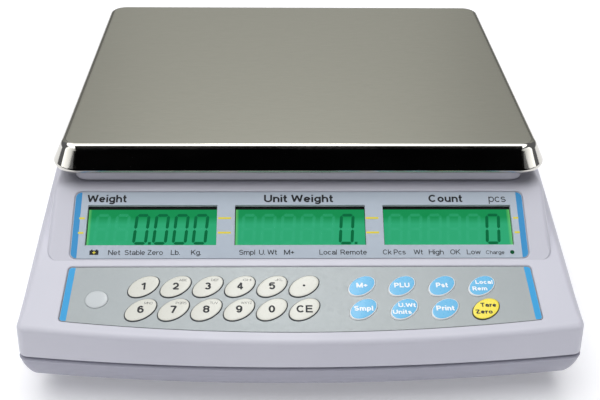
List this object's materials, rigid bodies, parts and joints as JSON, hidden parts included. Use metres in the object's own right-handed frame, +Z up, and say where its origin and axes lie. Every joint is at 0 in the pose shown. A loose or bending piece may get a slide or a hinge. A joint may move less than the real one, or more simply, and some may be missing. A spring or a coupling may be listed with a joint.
{
  "type": "counting scale",
  "caption": "Bench counting scale with a lift-off rectangular steel pan over a sloped plastic case that carries green backlit displays and an elliptical-key pad.",
  "frame": {"origin": "on the bench, under the middle of the scale's box", "axes": "+Z up; the keypad and displays face -Y; +X is to the user's right"},
  "size_m": [0.2986, 0.3428, 0.11],
  "materials": {
    "case_plastic": "moulded ABS, pale lavender grey, fine satin",
    "base_plastic": "moulded ABS, a shade deeper, satin",
    "display_print": "printed film, bluish silver with blue end stripes and small black words",
    "keypad_print": "printed film, grey silver with blue end stripes",
    "cream_key": "embossed, cream with a dark rim and figures",
    "blue_key": "embossed, sky blue with a white rim",
    "yellow_key": "embossed, yellow with a dark rim",
    "lcd": "green backlit display with dark green figures",
    "clear_plastic": "clear moulded plastic",
    "pan_steel": "stainless sheet, brushed top and polished skirt",
    "cast_aluminium": "cast or machined, bare",
    "plated_steel": "zinc plated",
    "rubber": "moulded, matt",
    "black_plastic": "moulded, fine texture",
    "circuit_board": "green solder mask",
    "cable_sheath": "matt sheath"
  },
  "bodies": {
    "housing": {"base_shell": "base_plastic", "top_cover": "case_plastic", "battery_door": "base_plastic", "display_overlay": "display_print", "lcd_weight": "lcd", "lcd_unit_weight": "lcd", "lcd_count": "lcd", "display_board": "circuit_board", "keypad_overlay": "keypad_print", "keypad_circuit": "clear_plastic", "level_lens": "clear_plastic", "level_cup": "clear_plastic", "load_cell": "cast_aluminium", "load_cell_spacer_fixed": "cast_aluminium", "chassis": "plated_steel", "battery": "black_plastic", "main_board": "circuit_board", "serial_port": "plated_steel", "dc_jack": "black_plastic", "power_switch_body": "black_plastic", "keypad_ribbon": "cable_sheath", "load_cell_cable": "cable_sheath", "battery_lead": "cable_sheath"},
    "platform": {"platform_spider": "cast_aluminium", "load_cell_spacer_live": "cast_aluminium", "pan_carrier": "case_plastic", "pan_pad_front_left": "rubber", "pan_pad_front_right": "rubber", "pan_pad_rear_left": "rubber", "pan_pad_rear_right": "rubber"},
    "pan": {"pan": "pan_steel"},
    "power_rocker": {"power_rocker": "black_plastic"},
    "key_1": {"key_1": "cream_key"},
    "key_2": {"key_2": "cream_key"},
    "key_3": {"key_3": "cream_key"},
    "key_4": {"key_4": "cream_key"},
    "key_5": {"key_5": "cream_key"},
    "key_6": {"key_6": "cream_key"},
    "key_7": {"key_7": "cream_key"},
    "key_8": {"key_8": "cream_key"},
    "key_9": {"key_9": "cream_key"},
    "key_0": {"key_0": "cream_key"},
    "key_point": {"key_point": "cream_key"},
    "key_clear": {"key_clear": "cream_key"},
    "key_total": {"key_total": "blue_key"},
    "key_recall": {"key_recall": "blue_key"},
    "key_preset": {"key_preset": "blue_key"},
    "key_source": {"key_source": "blue_key"},
    "key_sample": {"key_sample": "blue_key"},
    "key_unit_weight": {"key_unit_weight": "blue_key"},
    "key_print": {"key_print": "blue_key"},
    "key_tare_zero": {"key_tare_zero": "yellow_key"},
    "foot_pad_front_left": {"foot_pad_front_left": "rubber"},
    "foot_wheel_front_left": {"foot_wheel_front_left": "plated_steel"},
    "foot_pad_front_right": {"foot_pad_front_right": "rubber"},
    "foot_wheel_front_right": {"foot_wheel_front_right": "plated_steel"},
    "foot_pad_rear_left": {"foot_pad_rear_left": "rubber"},
    "foot_wheel_rear_left": {"foot_wheel_rear_left": "plated_steel"},
    "foot_pad_rear_right": {"foot_pad_rear_right": "rubber"},
    "foot_wheel_rear_right": {"foot_wheel_rear_right": "plated_steel"}
  },
  "joints": [
    {"name": "platform_sink", "type": "slide", "parent": "housing", "child": "platform", "axis": [0, 0, 1], "range_m": [-0.0004, 0], "stiffness_N_per_m": 150000, "springref_m": 0.00015, "deforming": ["load_cell"]},
    {"name": "pan_lift", "type": "slide", "parent": "platform", "child": "pan", "axis": [0, 0, 1], "range_m": [0, 0.06]},
    {"name": "power_rocker_tilt", "type": "hinge", "parent": "housing", "child": "power_rocker", "pos_m": [0.118, -0.01, 0.015], "axis": [0, -1, 0], "range_deg": [0, 16]},
    {"name": "key_1_press", "type": "slide", "parent": "housing", "child": "key_1", "axis": [0, 0.225, -0.9744], "range_m": [0, 0.0004], "stiffness_N_per_m": 3000, "springref_m": -0.0002},
    {"name": "key_2_press", "type": "slide", "parent": "housing", "child": "key_2", "axis": [0, 0.225, -0.9744], "range_m": [0, 0.0004], "stiffness_N_per_m": 3000, "springref_m": -0.0002},
    {"name": "key_3_press", "type": "slide", "parent": "housing", "child": "key_3", "axis": [0, 0.225, -0.9744], "range_m": [0, 0.0004], "stiffness_N_per_m": 3000, "springref_m": -0.0002},
    {"name": "key_4_press", "type": "slide", "parent": "housing", "child": "key_4", "axis": [0, 0.225, -0.9744], "range_m": [0, 0.0004], "stiffness_N_per_m": 3000, "springref_m": -0.0002},
    {"name": "key_5_press", "type": "slide", "parent": "housing", "child": "key_5", "axis": [0, 0.225, -0.9744], "range_m": [0, 0.0004], "stiffness_N_per_m": 3000, "springref_m": -0.0002},
    {"name": "key_6_press", "type": "slide", "parent": "housing", "child": "key_6", "axis": [0, 0.225, -0.9744], "range_m": [0, 0.0004], "stiffness_N_per_m": 3000, "springref_m": -0.0002},
    {"name": "key_7_press", "type": "slide", "parent": "housing", "child": "key_7", "axis": [0, 0.225, -0.9744], "range_m": [0, 0.0004], "stiffness_N_per_m": 3000, "springref_m": -0.0002},
    {"name": "key_8_press", "type": "slide", "parent": "housing", "child": "key_8", "axis": [0, 0.225, -0.9744], "range_m": [0, 0.0004], "stiffness_N_per_m": 3000, "springref_m": -0.0002},
    {"name": "key_9_press", "type": "slide", "parent": "housing", "child": "key_9", "axis": [0, 0.225, -0.9744], "range_m": [0, 0.0004], "stiffness_N_per_m": 3000, "springref_m": -0.0002},
    {"name": "key_0_press", "type": "slide", "parent": "housing", "child": "key_0", "axis": [0, 0.225, -0.9744], "range_m": [0, 0.0004], "stiffness_N_per_m": 3000, "springref_m": -0.0002},
    {"name": "key_point_press", "type": "slide", "parent": "housing", "child": "key_point", "axis": [0, 0.225, -0.9744], "range_m": [0, 0.0004], "stiffness_N_per_m": 3000, "springref_m": -0.0002},
    {"name": "key_clear_press", "type": "slide", "parent": "housing", "child": "key_clear", "axis": [0, 0.225, -0.9744], "range_m": [0, 0.0004], "stiffness_N_per_m": 3000, "springref_m": -0.0002},
    {"name": "key_total_press", "type": "slide", "parent": "housing", "child": "key_total", "axis": [0, 0.225, -0.9744], "range_m": [0, 0.0004], "stiffness_N_per_m": 3000, "springref_m": -0.0002},
    {"name": "key_recall_press", "type": "slide", "parent": "housing", "child": "key_recall", "axis": [0, 0.225, -0.9744], "range_m": [0, 0.0004], "stiffness_N_per_m": 3000, "springref_m": -0.0002},
    {"name": "key_preset_press", "type": "slide", "parent": "housing", "child": "key_preset", "axis": [0, 0.225, -0.9744], "range_m": [0, 0.0004], "stiffness_N_per_m": 3000, "springref_m": -0.0002},
    {"name": "key_source_press", "type": "slide", "parent": "housing", "child": "key_source", "axis": [0, 0.225, -0.9744], "range_m": [0, 0.0004], "stiffness_N_per_m": 3000, "springref_m": -0.0002},
    {"name": "key_sample_press", "type": "slide", "parent": "housing", "child": "key_sample", "axis": [0, 0.225, -0.9744], "range_m": [0, 0.0004], "stiffness_N_per_m": 3000, "springref_m": -0.0002},
    {"name": "key_unit_weight_press", "type": "slide", "parent": "housing", "child": "key_unit_weight", "axis": [0, 0.225, -0.9744], "range_m": [0, 0.0004], "stiffness_N_per_m": 3000, "springref_m": -0.0002},
    {"name": "key_print_press", "type": "slide", "parent": "housing", "child": "key_print", "axis": [0, 0.225, -0.9744], "range_m": [0, 0.0004], "stiffness_N_per_m": 3000, "springref_m": -0.0002},
    {"name": "key_tare_zero_press", "type": "slide", "parent": "housing", "child": "key_tare_zero", "axis": [0, 0.225, -0.9744], "range_m": [0, 0.0004], "stiffness_N_per_m": 3000, "springref_m": -0.0002},
    {"name": "foot_front_left_lower", "type": "slide", "parent": "housing", "child": "foot_pad_front_left", "axis": [0, 0, -1], "range_m": [0, 0.006]},
    {"name": "foot_front_left_turn", "type": "hinge", "parent": "foot_pad_front_left", "child": "foot_wheel_front_left", "pos_m": [-0.122, -0.116, 0.007], "axis": [0, 0, -1], "range_deg": [-5, 1730]},
    {"name": "foot_front_right_lower", "type": "slide", "parent": "housing", "child": "foot_pad_front_right", "axis": [0, 0, -1], "range_m": [0, 0.006]},
    {"name": "foot_front_right_turn", "type": "hinge", "parent": "foot_pad_front_right", "child": "foot_wheel_front_right", "pos_m": [0.122, -0.116, 0.007], "axis": [0, 0, -1], "range_deg": [-5, 1730]},
    {"name": "foot_rear_left_lower", "type": "slide", "parent": "housing", "child": "foot_pad_rear_left", "axis": [0, 0, -1], "range_m": [0, 0.006]},
    {"name": "foot_rear_left_turn", "type": "hinge", "parent": "foot_pad_rear_left", "child": "foot_wheel_rear_left", "pos_m": [-0.122, 0.132, 0.007], "axis": [0, 0, -1], "range_deg": [-5, 1730]},
    {"name": "foot_rear_right_lower", "type": "slide", "parent": "housing", "child": "foot_pad_rear_right", "axis": [0, 0, -1], "range_m": [0, 0.006]},
    {"name": "foot_rear_right_turn", "type": "hinge", "parent": "foot_pad_rear_right", "child": "foot_wheel_rear_right", "pos_m": [0.122, 0.132, 0.007], "axis": [0, 0, -1], "range_deg": [-5, 1730]}
  ],
  "couplings": [
    {"joint": "foot_front_left_turn", "follows": "foot_front_left_lower", "rad_per_m": 5026.5},
    {"joint": "foot_front_right_turn", "follows": "foot_front_right_lower", "rad_per_m": 5026.5},
    {"joint": "foot_rear_left_turn", "follows": "foot_rear_left_lower", "rad_per_m": 5026.5},
    {"joint": "foot_rear_right_turn", "follows": "foot_rear_right_lower", "rad_per_m": 5026.5}
  ]
}
